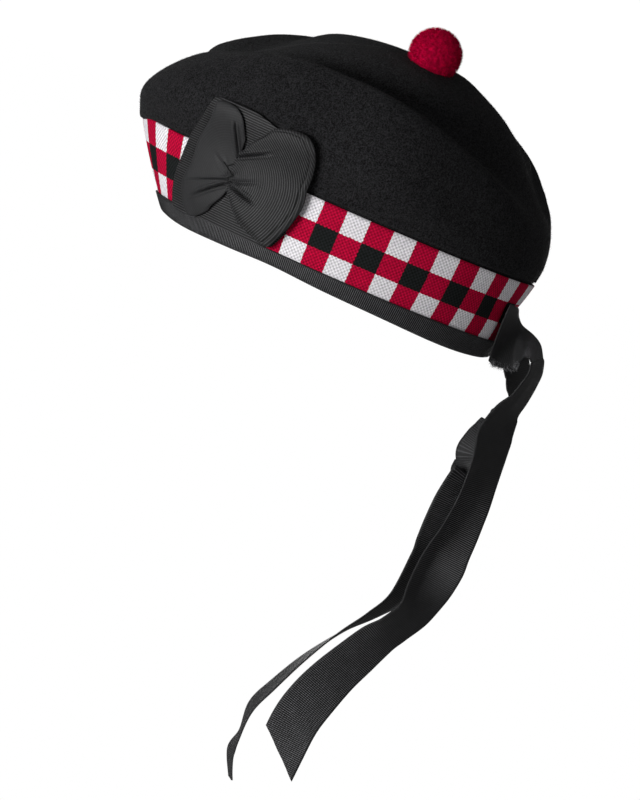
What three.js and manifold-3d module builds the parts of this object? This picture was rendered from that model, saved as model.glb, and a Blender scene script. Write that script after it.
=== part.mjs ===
// A round wool bonnet: felt crown, diced band, bound rim, bow cockade, pompom and two ribbon tails.
// Millimetres, +Z up. The front looks along -Y and the wearer's left along +X.
// The origin is the centre of the head opening, in the plane of the rim.

import * as THREE from 'three';
import { LoftGeometry } from 'three/addons/geometries/LoftGeometry.js';
import { mergeVertices } from 'three/addons/utils/BufferGeometryUtils.js';
import Module from 'manifold-3d';

const wasm = await Module();
wasm.setup();

const { degToRad, lerp, radToDeg } = THREE.MathUtils;

// Clearance between pieces that touch.
const GAP = 0.3;

// Rim oval and band. Both half sizes are those of the band's outer face at the height of the rim.
const RIM_HALF_LENGTH = 100;
const RIM_HALF_WIDTH = 82;
const BAND_TOP = 44;
const BAND_FOOT = { front: -6.7, side: 1.3, rear: 0 };
const BAND_LEAN = { front: 28.4, side: 7, rear: 8.7 };
const BAND_BELLY = 2;

// The ribbon tied round the back draws the band in, most at one height.
const TIE_PULL = { angle: 189, spread: 32, up: 32, depth: 2.7 };

// The rim isn't quite level: it hangs low in places. The binding's upper edge stays level.
const RIM_SAG = table(
  ['angle', 'depth', 'spread'],
  [
    [50, 0.9, 14],
    [88, -1.3, 13],
    [172, 2.2, 45],
  ],
);

const BAND_THICK = 1.2;
const FELT_THICK = 2;
const FELT_CLEAR = 0.7;
const RIBBON_THICK = 1;
const BINDING_TOP = 9;
const AROUND = 54;
const HALVINGS = 16;
const FITTING_ROUNDS = 6;
const BINDING_CLEAR = 0.5;
const RIM_FOLD = RIBBON_THICK + GAP;
const FOLD_SOFTNESS = 0.6;
const HEADBAND_FOOT = 4;
const BAND_LEVELS = [RIM_FOLD, BINDING_TOP, 20, 32, BAND_TOP];

// Crown: the seam is where the felt comes out over the band, the apex its highest point.
const SEAM_UP = 46;
const SEAM_SET_BACK = 0.2;
const APEX = new THREE.Vector3(-8, 6, 133);
const CROWN_LEVELS = 19;
const FOOT_BELOW_BAND_TOP = 8;
const CROWN_STATIONS = ['belly', 'ridge', 'valley', 'dome'];
const CROWN_CLIMB = CROWN_STATIONS.length + 1;
const RIDGE_CLIMB = 1 + CROWN_STATIONS.indexOf('ridge');
const TOP_CLIMB = CROWN_CLIMB - 0.08;

// Sections of the crown, going from the front over the wearer's left. Each one climbs from the band
// over the belly and the soft fold's ridge, into the valley behind it and up the dome.
const CROWN_SECTIONS = table(
  ['angle', 'bellyOut', 'bellyUp', 'ridgeOut', 'ridgeUp', 'valleyOut', 'valleyUp', 'domeOut', 'domeUp'],
  [
    [0, 132.5, 60, 115, 86, 90, 98, 50, 119.5],
    [30, 128, 62, 106, 90, 84, 97.5, 50, 118.5],
    [60, 107, 66, 90, 104.5, 73, 100, 43, 120],
    [90, 99, 71, 83, 108.5, 67, 101, 38, 121.5],
    [120, 101, 69, 87, 103, 70, 97.5, 40, 121],
    [150, 103, 62, 95, 88.5, 77, 90, 45, 120],
    [180, 108.5, 55, 104, 70, 88, 89, 54, 119.5],
    [210, 109, 57, 105.5, 81, 89, 93, 54, 121.5],
    [240, 116, 60, 102, 109, 81, 106, 48, 124],
    [270, 121, 66, 100, 118, 79, 113, 44, 127.5],
    [300, 123, 68, 103, 121, 82, 118, 48, 130],
    [330, 129, 66, 111, 114, 88, 116, 52, 129],
  ],
);

// Soft dents in the felt: where each one lies, how deep it is and how far it spreads.
const CROWN_DENTS = table(
  ['angle', 'climb', 'depth', 'spreadAngle', 'spreadClimb'],
  [
    [86, 1.4, 2.2, 12, 0.7],
    [112, 0.9, -1.6, 14, 0.7],
    [138, 1.1, 2, 13, 0.6],
    [205, 2.6, 3, 14, 0.9],
    [262, 1.2, 3, 18, 0.6],
    [318, 0.9, 2.5, 16, 0.7],
    [352, 2.6, 3.5, 12, 1],
  ],
);

// Cockade: the pinch is its gathered middle, and distances run along the band and up from there.
const COCKADE_ANGLE = 67;
const COCKADE_UP = 33.7;
const COCKADE_MM_PER_DEGREE = 1.76;
const COCKADE_CLEAR = 1.5;
const BACKING_THICK = 1.2;
const BACKING_ACROSS = 8;
const BOW_ACROSS = 11;
const BOW_THICK = 1.2;
const BOW_CLEAR = 0.3;
const BOW_EDGE_DROP = 0.55;
const CREASE_FAN = 60;
const CREASE_CORE = 4;

const BACKING_OUTLINE = table(
  ['along', 'low', 'high'],
  [
    [-33, -18, -2],
    [-29, -22, 10],
    [-23, -22.8, 20],
    [-17, -23, 32],
    [-13, -23, 36],
    [0, -23, 37.6],
    [12, -23, 36.8],
    [24, -23, 35.3],
    [36, -22.5, 34.5],
    [42, -14, 30],
    [44, -5, 24],
  ],
);

// The bow's outline, and how far its lobes stand off the backing.
const BOW_OUTLINE = table(
  ['along', 'low', 'high', 'puff'],
  [
    [-36, -20, -9, 1],
    [-34, -25, 0, 2],
    [-30, -27, 12, 3],
    [-24, -27.3, 22, 4],
    [-19, -27, 34, 4],
    [-17, -26.5, 37, 4],
    [-8, -21, 37.3, 4],
    [-2, -15, 35.5, 3.5],
    [2, -8, 31, 3],
    [4, -12, 24, 3],
    [6, -21.5, 17.5, 4],
    [10, -22.3, 20, 5.5],
    [16, -22.8, 26, 7],
    [22, -23.4, 33, 7],
    [28, -24, 36.3, 7],
    [34, -24.5, 37.5, 6],
    [38, -23.5, 37.5, 5],
    [42, -14, 36, 4],
    [45, -4, 32.5, 2.5],
    [46.5, 19, 28, 1],
  ],
);

// Creases that run out from the pinch. A heading of 0 runs to the rear and 90 runs up.
const BOW_CREASES = table(
  ['heading', 'depth', 'reach', 'spread'],
  [
    [92, 3.5, 24, 8],
    [48, 2.6, 20, 8],
    [-20, 2.2, 18, 8],
    [200, 2, 26, 6],
    [226, 3, 22, 6],
    [160, 1.5, 14, 9],
  ],
);

// Pompom.
const TOORIE_CENTRE = new THREE.Vector3(10.9, 11.8, 137.2);
const TOORIE_RADIUS = 14.8;
const TOORIE_HEAD_RADIUS = 12.7;
const TOORIE_TUFTS = 40;
const TUFT_RADIUS = 3.3;
const TUFT_TAPER = 0.8;
const TUFT_SIDES = 5;

// Ribbon wrapped over the band's join at the back.
const WRAP_ANGLE = { start: 180, end: 199 };
const WRAP_UP = { low: -2, high: 31 };
const WRAP_THICK = 1.4;
const WRAP_CLEAR = BINDING_CLEAR + RIBBON_THICK + 2 * GAP;
const WRAP_STEPS = 6;
const WRAP_ROWS = 5;
const FRAY_DEPTH = 1.6;

// Ribbon tails. Each row is a place on a tail's middle line, with the turn of its width about the
// vertical and the width's lift out of the level: at 0 and 0 the ribbon runs fore and aft and shows its
// face to the side. Fold bends it lengthwise.
const TAIL_WIDTH = 26.5;
const TAIL_ACROSS = 4;
const TAIL_STEPS = 30;
const TAIL_COLUMNS = ['side', 'back', 'up', 'turn', 'lift', 'fold'];

const NEAR_TAIL = table(TAIL_COLUMNS, [
  [-12.6, 110.9, 16.7, 100, 42, 0],
  [-12, 115.2, 14.8, 100, 36, 1],
  [-10, 121.1, 12.4, 97, 25, 2],
  [-8, 125.9, 8.8, 95, 14, 2],
  [-7, 128.6, 4.1, 91, 8, 2],
  [-6, 128.1, -2.9, 88, 0, 2],
  [-5, 125.7, -19, 83, 0, 2],
  [-4, 123.8, -28.7, 72, 0, 2],
  [-3, 124.4, -43.5, 65, 0, 1],
  [-3, 129, -75, 67, 0, 1],
  [-2, 130.1, -108.3, 60, 0, 2],
  [-1, 127.9, -127, 59, 0, 3],
  [0, 123.1, -142.8, 61, 0, 3],
  [1, 115.6, -156.7, 59, 0, 3],
  [2, 105.9, -173.2, 50, 0, 2],
  [3, 96.3, -192.3, 38, 0, 1],
  [4, 90.8, -209.3, 24, 0, 0],
  [5, 84.6, -243, 17, 0, 0],
]);

const FAR_TAIL = table(TAIL_COLUMNS, [
  [-17.5, 103.2, 3, 106, 0, 0],
  [-19.3, 109.8, 2.6, 108, 0, 1.5],
  [-19.5, 114.2, -3.5, 112, 0, 2],
  [-20, 117.4, -15.6, 118, 0, 2],
  [-20, 116.7, -26.1, 125, 0, 2],
  [-20, 111.6, -45, 138, 0, 2],
  [-20, 111, -60, 118, 0, 3],
  [-20, 111.8, -77, 72, 0, 6],
  [-20, 111.8, -92, 64, 0, 7],
  [-19, 112.7, -106.6, 64, 0, 6],
  [-18, 112.8, -121.2, 72, 0, 4],
  [-17, 109.1, -138.8, 78, 0, 3],
  [-15, 100.6, -154.4, 86, 0, 2],
  [-13, 82.5, -178.5, 106, 0, 1],
  [-12, 72, -195.8, 112, 0, 1],
  [-10.5, 60.4, -221.7, 118, 0, 1],
  [-10, 57.6, -238.3, 113, 0, 1],
  [-9, 57.6, -257, 117, 0, 1],
  [-8, 64, -269.2, 113, 0, 0],
]);

const END_SLANT = 9;

// Finishes of the real materials. The woven band has the mean colour of its checks.
const BLACK_FELT = { color: 0x141416, roughness: 0.95 };
const BLACK_RIBBON = { color: 0x1d1d20, roughness: 0.7 };
const RED_WOOL = { color: 0xb3122e, roughness: 0.95 };
const DICED_WEAVE = { color: 0x9a3a46, roughness: 0.85 };

function table(columns, rows) {
  return rows.map((row) => Object.fromEntries(columns.map((name, i) => [name, row[i]])));
}

function gauss(distance, spread) {
  return Math.exp(-((distance / spread) ** 2));
}

// Signed difference of two angles in degrees, from -180 to 180.
function angleBetween(a, b) {
  return ((a - b + 540) % 360) - 180;
}

// Value of a column at a place along a table, by straight steps between its rows.
function columnAt(rows, key, name, place) {
  const after = rows.findIndex((row) => row[key] > place);
  const i = after < 0 ? rows.length - 2 : Math.max(0, after - 1);
  const low = rows[i];
  const high = rows[i + 1];
  return lerp(low[name], high[name], (place - low[key]) / (high[key] - low[key]));
}

function outwards(angle) {
  const a = degToRad(angle);
  return new THREE.Vector3(Math.sin(a) / RIM_HALF_WIDTH, -Math.cos(a) / RIM_HALF_LENGTH, 0).normalize();
}

function rimPoint(angle) {
  const a = degToRad(angle);
  return new THREE.Vector3(RIM_HALF_WIDTH * Math.sin(a), -RIM_HALF_LENGTH * Math.cos(a), 0);
}

// How far the band's outer face stands out past the rim oval at a height.
function bandStand(angle, up) {
  const a = degToRad(angle);
  const end = Math.cos(a) > 0 ? 'front' : 'rear';
  const foot = BAND_FOOT.side * Math.sin(a) ** 2 + BAND_FOOT[end] * Math.cos(a) ** 4;
  const lean = BAND_LEAN.side * Math.sin(a) ** 2 + BAND_LEAN[end] * Math.cos(a) ** 2;
  const climb = up / BAND_TOP;
  return lerp(foot, lean, climb) + 4 * BAND_BELLY * climb * (1 - climb) - tiePull(angle, up);
}

function tiePull(angle, up) {
  const share = up < TIE_PULL.up ? up / TIE_PULL.up : (BAND_TOP - up) / (BAND_TOP - TIE_PULL.up);
  return TIE_PULL.depth * gauss(angleBetween(angle, TIE_PULL.angle), TIE_PULL.spread) * Math.max(0, share);
}

function rimSag(angle, up) {
  const sags = RIM_SAG.map((row) => row.depth * gauss(angleBetween(angle, row.angle), row.spread));
  return sags.reduce((sum, sag) => sum + sag, 0) * Math.max(0, 1 - up / BINDING_TOP);
}

function bandPoint(angle, up, offset) {
  const stand = bandStand(angle, up) + offset;
  return rimPoint(angle).addScaledVector(outwards(angle), stand).setZ(up - rimSag(angle, up));
}

const ANGLES = Array.from({ length: AROUND }, (_, i) => (360 * i) / AROUND);

// A ring round the head whose section is a closed profile of offset and height.
function bandRing(profile) {
  const closed = [...profile, profile[0]];
  return new LoftGeometry(closed.map(([offset, up]) => ANGLES.map((angle) => bandPoint(angle, up, offset))));
}

// Hoops of the crown, one through each station of its sections.
const CROWN_HOOPS = CROWN_STATIONS.map((station) => {
  const points = CROWN_SECTIONS.map((row) => {
    const a = degToRad(row.angle);
    const out = row[`${station}Out`];
    return new THREE.Vector3(out * Math.sin(a), -out * Math.cos(a), row[`${station}Up`]);
  });
  return new THREE.CatmullRomCurve3(points, true, 'catmullrom');
});

// The line up the crown at an angle. It starts a step below the seam and runs a step past the apex.
function meridian(angle) {
  const foot = bandPoint(angle, BAND_TOP - FOOT_BELOW_BAND_TOP, 0);
  const seam = bandPoint(angle, SEAM_UP, -SEAM_SET_BACK);
  const stations = CROWN_HOOPS.map((hoop) => hoop.getPoint((((angle % 360) + 360) % 360) / 360));
  const dome = stations.at(-1);
  const beyond = new THREE.Vector3(2 * APEX.x - dome.x, 2 * APEX.y - dome.y, dome.z);
  return new THREE.CatmullRomCurve3([foot, seam, ...stations, APEX, beyond]);
}

function smoothCrownPoint(angle, climb) {
  return meridian(angle).getPoint((climb + 1) / (CROWN_CLIMB + 2));
}

function crownNormal(angle, climb) {
  const step = 0.02;
  const along = smoothCrownPoint(angle + 1, climb).sub(smoothCrownPoint(angle - 1, climb));
  const upwards = smoothCrownPoint(angle, climb + step).sub(smoothCrownPoint(angle, climb - step));
  return along.cross(upwards).normalize();
}

// The felt's outer face at depth 0, and the surfaces inside it at greater depths.
function crownPoint(angle, climb, depth) {
  const dents = CROWN_DENTS.map((dent) => {
    const sideways = gauss(angleBetween(angle, dent.angle), dent.spreadAngle);
    return dent.depth * sideways * gauss(climb - dent.climb, dent.spreadClimb);
  });
  const inwards = depth + dents.reduce((sum, dent) => sum + dent, 0);
  return smoothCrownPoint(angle, climb).addScaledVector(crownNormal(angle, climb), -inwards);
}

function toSolid(geometry) {
  const bare = new THREE.BufferGeometry();
  bare.setAttribute('position', geometry.attributes.position);
  bare.setIndex(geometry.index);
  const merged = mergeVertices(bare);
  const vertProperties = new Float32Array(merged.attributes.position.array);
  const triVerts = new Uint32Array(merged.index.array);
  return new wasm.Manifold(new wasm.Mesh({ numProp: 3, vertProperties, triVerts }));
}

function toGeometry(solid) {
  const mesh = solid.getMesh();
  const geometry = new THREE.BufferGeometry();
  geometry.setAttribute('position', new THREE.BufferAttribute(mesh.vertProperties, mesh.numProp));
  geometry.setIndex(new THREE.BufferAttribute(mesh.triVerts, 1));
  geometry.computeVertexNormals();
  return geometry;
}

// The crown's form at a depth under its outer face, closed at its level foot and just short of the apex.
function crownForm(depth, foot) {
  const climbs = Array.from({ length: CROWN_LEVELS + 1 }, (_, i) => (TOP_CLIMB * i) / CROWN_LEVELS);
  const offset = -(BAND_THICK + FELT_CLEAR + depth);
  const dome = climbs.map((climb) => ANGLES.map((angle) => crownPoint(angle, climb, depth)));
  const headband = [foot, ...BAND_LEVELS.slice(1, -1), BAND_TOP + GAP];
  const wall = headband.map((up) => ANGLES.map((angle) => bandPoint(angle, up, offset).setZ(up)));
  return toSolid(new LoftGeometry([...wall, ...dome], { capStart: true, capEnd: true }));
}

function crownGeometry() {
  return toGeometry(crownForm(0, HEADBAND_FOOT).subtract(crownForm(FELT_THICK, HEADBAND_FOOT - FELT_THICK)));
}

function dicedBandGeometry() {
  const front = BAND_LEVELS.map((up) => [0, up]);
  const back = BAND_LEVELS.map((up) => [-BAND_THICK, up]).reverse();
  return bandRing([...back, ...front]);
}

// The binding's section is a U that holds the band and the headband.
function bindingGeometry() {
  const outer = BINDING_CLEAR;
  const inner = -(BAND_THICK + FELT_CLEAR + FELT_THICK + BINDING_CLEAR);
  const lip = RIBBON_THICK;
  const soft = FOLD_SOFTNESS;
  const outside = [
    [outer, BINDING_TOP],
    [outer + lip, BINDING_TOP],
    [outer + lip, lip + soft],
    [outer + lip - soft, soft / 2],
    [outer - lip, 0],
  ];
  const inside = [
    [inner + lip, 0],
    [inner - lip + soft, soft / 2],
    [inner - lip, lip + soft],
    [inner - lip, BINDING_TOP],
    [inner, BINDING_TOP],
  ];
  return bandRing([...outside, ...inside, [inner, lip], [outer, lip]].reverse());
}

// The felt's outer face at a height, on the line up the crown at an angle.
function feltAt(angle, up) {
  let low = 0;
  let high = RIDGE_CLIMB;
  for (let i = 0; i < HALVINGS; i++) {
    const middle = (low + high) / 2;
    if (crownPoint(angle, middle, 0).z < up) {
      low = middle;
    } else {
      high = middle;
    }
  }
  return crownPoint(angle, low, 0);
}

// The hat's outer face, band or felt, at an angle and a height.
function wallPoint(angle, up) {
  return up <= SEAM_UP ? bandPoint(angle, Math.min(up, BAND_TOP), 0).setZ(up) : feltAt(angle, up);
}

const PINCH = bandPoint(COCKADE_ANGLE, COCKADE_UP, 0);
const PINCH_OUT = outwards(COCKADE_ANGLE);
const PINCH_ALONG = new THREE.Vector3(-PINCH_OUT.y, PINCH_OUT.x, 0);

// A place on the cockade: along and above the pinch in its upright plane, and standing off the hat.
function cockadePoint(along, above, stand) {
  const up = COCKADE_UP + above;
  let angle = COCKADE_ANGLE + along / COCKADE_MM_PER_DEGREE;
  let depth = 0;
  for (let i = 0; i < FITTING_ROUNDS; i++) {
    const offset = wallPoint(angle, up).sub(PINCH);
    depth = offset.dot(PINCH_OUT);
    angle += (along - offset.dot(PINCH_ALONG)) / COCKADE_MM_PER_DEGREE;
  }
  const place = PINCH.clone().addScaledVector(PINCH_ALONG, along).setZ(up);
  return place.addScaledVector(PINCH_OUT, depth + COCKADE_CLEAR + stand);
}

// A thin piece on the cockade's place: its outline's rows, with stand-offs for its back and its thickness.
function cockadeSheet(outline, across, thick, standAt) {
  const sections = outline.map(({ along, low, high }) => {
    const heights = Array.from({ length: across }, (_, i) => lerp(low, high, i / (across - 1)));
    const back = heights.map((above) => cockadePoint(along, above, standAt(along, above)));
    const front = heights.map((above) => cockadePoint(along, above, standAt(along, above) + thick));
    return [...back, ...front.reverse()];
  });
  return new LoftGeometry(sections, { capStart: true, capEnd: true });
}

function backingGeometry() {
  return cockadeSheet(BACKING_OUTLINE, BACKING_ACROSS, BACKING_THICK, () => 0);
}

function bowStand(along, above) {
  const low = columnAt(BOW_OUTLINE, 'along', 'low', along);
  const high = columnAt(BOW_OUTLINE, 'along', 'high', along);
  const puff = columnAt(BOW_OUTLINE, 'along', 'puff', along);
  const across = (2 * (above - low)) / (high - low) - 1;
  const crowned = puff * (1 - BOW_EDGE_DROP * across ** 4);
  const heading = radToDeg(Math.atan2(above, along));
  const distance = Math.hypot(along, above);
  const creases = BOW_CREASES.map((crease) => {
    const spread = crease.spread + CREASE_FAN / (distance + CREASE_CORE);
    const sideways = gauss(angleBetween(heading, crease.heading), spread);
    return crease.depth * sideways * gauss(distance, crease.reach);
  });
  const stand = crowned - creases.reduce((sum, crease) => sum + crease, 0);
  return BACKING_THICK + BOW_CLEAR + Math.max(0, stand);
}

function bowGeometry() {
  return cockadeSheet(BOW_OUTLINE, BOW_ACROSS, BOW_THICK, bowStand);
}

// Tufts spread evenly over a round head, flattened where the pompom sits on the felt.
function toorieGeometry() {
  const up = new THREE.Vector3(0, 0, 1);
  const goldenTurn = Math.PI * (3 - Math.sqrt(5));
  let solid = toSolid(new THREE.IcosahedronGeometry(TOORIE_HEAD_RADIUS, 1));
  for (let i = 0; i < TOORIE_TUFTS; i++) {
    const height = 1 - (2 * (i + 0.5)) / TOORIE_TUFTS;
    const across = Math.sqrt(1 - height ** 2);
    const heading = goldenTurn * i;
    const way = new THREE.Vector3(across * Math.cos(heading), across * Math.sin(heading), height);
    const length = TOORIE_RADIUS - TOORIE_HEAD_RADIUS / 2;
    const tuft = new THREE.CylinderGeometry(TUFT_RADIUS, TUFT_RADIUS * TUFT_TAPER, length, TUFT_SIDES);
    tuft.rotateX(Math.PI / 2);
    tuft.translate(0, 0, TOORIE_RADIUS - length / 2);
    tuft.applyQuaternion(new THREE.Quaternion().setFromUnitVectors(up, way));
    solid = solid.add(toSolid(tuft));
  }
  const seat = toorieSeat();
  const reach = 4 * TOORIE_RADIUS;
  const felt = new THREE.BoxGeometry(reach, reach, reach);
  felt.translate(0, 0, -reach / 2);
  felt.applyQuaternion(new THREE.Quaternion().setFromUnitVectors(up, seat.normal));
  felt.translate(...seat.point.clone().sub(TOORIE_CENTRE).toArray());
  return toGeometry(solid.subtract(toSolid(felt)));
}

// The felt's face below the pompom, a gap above the dome's own surface.
function toorieSeat() {
  const angle = 180 - radToDeg(Math.atan2(TOORIE_CENTRE.x - APEX.x, TOORIE_CENTRE.y - APEX.y));
  const wanted = Math.hypot(TOORIE_CENTRE.x - APEX.x, TOORIE_CENTRE.y - APEX.y);
  let climb = TOP_CLIMB;
  while (smoothCrownPoint(angle, climb).sub(APEX).setZ(0).length() < wanted) {
    climb -= 0.01;
  }
  const normal = crownNormal(angle, climb);
  return { normal, point: crownPoint(angle, climb, -GAP) };
}

// A patch of ribbon on the band's outside whose lower edge is frayed.
function wrapGeometry() {
  const sections = Array.from({ length: WRAP_STEPS + 1 }, (_, i) => {
    const angle = lerp(WRAP_ANGLE.start, WRAP_ANGLE.end, i / WRAP_STEPS);
    const low = WRAP_UP.low + (i % 2) * FRAY_DEPTH;
    const rise = (WRAP_UP.high - low) / (WRAP_ROWS - 1);
    const heights = Array.from({ length: WRAP_ROWS }, (__, j) => low + j * rise);
    const stand = (up) => WRAP_CLEAR - (up > BINDING_TOP ? RIBBON_THICK / 2 : 0);
    const back = heights.map((up) => bandPoint(angle, up, stand(up)));
    const front = heights.map((up) => bandPoint(angle, up, stand(up) + WRAP_THICK));
    return [...back, ...front.reverse()];
  });
  return new LoftGeometry(sections, { capStart: true, capEnd: true });
}

// A flat ribbon along the rows of a tail, with a slanted end.
function tailGeometry(rows) {
  const line = new THREE.CatmullRomCurve3(rows.map((row) => new THREE.Vector3(row.side, row.back, row.up)));
  const bend = new THREE.CatmullRomCurve3(rows.map((row) => new THREE.Vector3(row.turn, row.lift, row.fold)));
  const sections = Array.from({ length: TAIL_STEPS + 1 }, (_, i) => {
    const t = i / TAIL_STEPS;
    const { x: turn, y: lift, z: fold } = bend.getPoint(t);
    const tangent = line.getTangent(t);
    const wide = new THREE.Vector3(-Math.sin(degToRad(turn)), Math.cos(degToRad(turn)), 0);
    wide.multiplyScalar(Math.cos(degToRad(lift))).setZ(Math.sin(degToRad(lift)));
    const width = wide.addScaledVector(tangent, -wide.dot(tangent)).normalize();
    const face = tangent.clone().cross(width).normalize();
    const slant = i === TAIL_STEPS ? END_SLANT : 0;
    const place = (across, offset) =>
      line
        .getPoint(t)
        .addScaledVector(width, (across * TAIL_WIDTH) / 2)
        .addScaledVector(face, fold * (1 - across ** 2) + offset)
        .addScaledVector(tangent, slant * across);
    const steps = Array.from({ length: TAIL_ACROSS + 1 }, (__, j) => (2 * j) / TAIL_ACROSS - 1);
    const front = steps.map((across) => place(across, RIBBON_THICK / 2));
    const back = steps.map((across) => place(across, -RIBBON_THICK / 2));
    return [...back, ...front.reverse()];
  });
  return new LoftGeometry(sections, { capStart: true, capEnd: true });
}

const bonnet = new THREE.Group();
bonnet.name = 'bonnet';

function addPiece(name, geometry, finish) {
  const mesh = new THREE.Mesh(geometry, new THREE.MeshStandardMaterial({ ...finish, metalness: 0 }));
  mesh.name = name;
  bonnet.add(mesh);
  return mesh;
}

addPiece('crown', crownGeometry(), BLACK_FELT);
addPiece('diced_band', dicedBandGeometry(), DICED_WEAVE);
addPiece('rim_binding', bindingGeometry(), BLACK_RIBBON);
addPiece('cockade_backing', backingGeometry(), BLACK_RIBBON);
addPiece('cockade_bow', bowGeometry(), BLACK_RIBBON);
addPiece('toorie', toorieGeometry(), RED_WOOL).position.copy(TOORIE_CENTRE);
addPiece('tie_wrap', wrapGeometry(), BLACK_RIBBON);
addPiece('tail_near', tailGeometry(NEAR_TAIL), BLACK_RIBBON);
addPiece('tail_far', tailGeometry(FAR_TAIL), BLACK_RIBBON);

export default bonnet;
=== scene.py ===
"""A round wool bonnet: felt crown, diced band, bound rim, bow cockade, pompom and ribbon tails."""

import math
from collections import namedtuple

import bmesh
import bpy
import numpy as np
from bpy.props import FloatProperty, FloatVectorProperty, IntProperty, PointerProperty
from mathutils import Matrix, Vector
from mathutils.bvhtree import BVHTree


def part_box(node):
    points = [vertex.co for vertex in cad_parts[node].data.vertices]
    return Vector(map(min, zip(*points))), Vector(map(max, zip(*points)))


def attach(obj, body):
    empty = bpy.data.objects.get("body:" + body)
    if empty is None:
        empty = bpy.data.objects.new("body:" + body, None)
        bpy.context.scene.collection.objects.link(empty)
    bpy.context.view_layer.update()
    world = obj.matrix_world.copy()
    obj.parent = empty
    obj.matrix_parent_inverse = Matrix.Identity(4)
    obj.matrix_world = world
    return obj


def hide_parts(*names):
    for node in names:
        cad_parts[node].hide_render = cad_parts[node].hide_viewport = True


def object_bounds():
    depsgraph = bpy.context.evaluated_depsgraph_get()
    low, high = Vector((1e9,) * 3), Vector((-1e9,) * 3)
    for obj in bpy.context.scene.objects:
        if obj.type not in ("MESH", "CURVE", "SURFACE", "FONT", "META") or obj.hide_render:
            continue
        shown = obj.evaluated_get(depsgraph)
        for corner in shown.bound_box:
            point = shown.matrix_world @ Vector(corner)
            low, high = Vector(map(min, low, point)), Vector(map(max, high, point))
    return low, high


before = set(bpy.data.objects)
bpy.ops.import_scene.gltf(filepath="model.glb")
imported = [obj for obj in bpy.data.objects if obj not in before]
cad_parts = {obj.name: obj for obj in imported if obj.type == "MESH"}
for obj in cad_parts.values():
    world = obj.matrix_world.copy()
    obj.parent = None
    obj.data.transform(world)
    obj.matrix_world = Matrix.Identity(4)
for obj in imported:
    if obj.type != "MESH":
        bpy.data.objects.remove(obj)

bl_info = {
    "name": "Diced Bonnet",
    "version": (1, 0, 0),
    "blender": (4, 5, 0),
    "location": "View3D > Sidebar > Bonnet",
    "description": "Models a felt bonnet's visible pieces and their finishes, and a plain studio for it",
    "category": "Object",
}

CAD_LOW, CAD_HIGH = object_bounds()
BODY = "root"
MM = 0.001
UP = np.array([0.0, 0.0, 1.0])


def table(columns, rows):
    """Rows of numbers as one array for each named column."""
    row = namedtuple("Table", columns)
    return row(*np.array(rows, float).T)


# Places where the rim hangs low: the angle from the front over the wearer's left and its spread in degrees,
# and the depth in millimetres. A negative depth is a rise.
RIM_SAG = table(
    "angle depth spread",
    [
        (50, 0.9, 14),
        (88, -1.3, 13),
        (150, 1.1, 24),
        (172, 2.2, 45),
    ],
)

# Soft pushes and dents of the crown, in millimetres, outwards from a point above the middle of the rim.
PUSH_ORIGIN = (0, 0, 20)
CROWN_PUSHES = table(
    "side back up push spread",
    [
        (34, -122, 56, -1, 11),
        (-34, -112, 94, 4, 14),
        (-31, -121.6, 88.7, 4, 9),
        (-56, -92, 115, -1.6, 15),
        (-30, -62, 121, 2, 15),
        (42, -114, 78, 0.2, 15),
        (-43, 66, 103, 5, 14),
        (-9, 26, 130, 1.2, 12),
        (-57, 88, 80, 0.8, 16),
    ],
)

# Where the felt's edge droops over the front of the band, how far, how widely, and the heights between which
# the droop sets in, in millimetres.
LIP_PLACE = (32, -119, 50)
LIP_DROOP = 3.6
LIP_SPREAD = 26
LIP_HEIGHTS = (38, 46)

# Outlines of the bow's two lobes round the pinch: their reach in millimetres at each heading in degrees.
# A heading of 0 runs to the rear and 90 runs up.
FRONT_LOBE = table(
    "heading reach",
    [
        (79, 22.5),
        (82, 25.6),
        (87.3, 31.6),
        (94, 35.2),
        (101, 37),
        (111, 38.7),
        (115, 38.9),
        (117.5, 37),
        (120, 34.8),
        (127, 31.2),
        (142, 28.8),
        (157, 28),
        (168, 26.5),
        (180, 26.3),
        (191, 28.6),
        (200, 31.8),
        (210, 33.3),
        (223, 34.4),
        (229, 34.1),
        (234.5, 32.9),
        (239.5, 29.8),
        (243, 27),
        (248, 22.8),
        (251, 20.6),
    ],
)
REAR_LOBE = table(
    "heading reach",
    [
        (-56, 21.5),
        (-53.7, 23.4),
        (-44.7, 30.7),
        (-39.7, 37.1),
        (-36.6, 41.2),
        (-33, 42),
        (-28.8, 41.6),
        (-13.5, 42.6),
        (0.9, 44),
        (13.5, 44.6),
        (24, 48.7),
        (31.6, 52.8),
        (38, 54.7),
        (43.4, 53.7),
        (48, 50.4),
        (54.3, 44.5),
        (58.5, 39.6),
        (59.5, 37),
    ],
)

# How far the lobes stand off the backing, and how high their ribs stand and how strongly their painted
# highlight and shade show, from the pinch, 0, to their edges, 1.
LOBE_PUFF = table(
    "reach front rear front_ribs rear_ribs",
    [
        (0.0, 0.4, 0.5, 0, 0.2),
        (0.12, 1.2, 1.8, 0.1, 0.7),
        (0.3, 1.7, 2.7, 0.12, 1),
        (0.6, 1.8, 3.0, 0.12, 1),
        (0.9, 1.5, 2.4, 0.15, 1),
        (0.97, 1.2, 2.0, 0.2, 0.8),
        (1.0, 0.8, 1.3, 0.1, 0.4),
    ],
)

# Creases of the bow, each from a place near the pinch to where it dies out, along and above the pinch.
BOW_CREASES = table(
    "along above end_along end_above depth width",
    [
        (-0.8, 27.8, 4.4, 9.5, 2.2, 0.6),
        (0.3, -0.4, -31, -11.6, 0.6, 0.45),
        (1.5, -2.5, -22, -18.3, 1.8, 0.6),
        (3.8, 13, 26, 23, 1.5, 0.6),
        (3.3, -0.9, 24, 6.2, 0.7, 1.1),
        (6, -3, 25, -7.2, 1.5, 0.8),
        (6, -9, 16, -19, 0.6, 1.6),
        (-2, 4.5, -13, 11, 0.3, 1.0),
    ],
)

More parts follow.
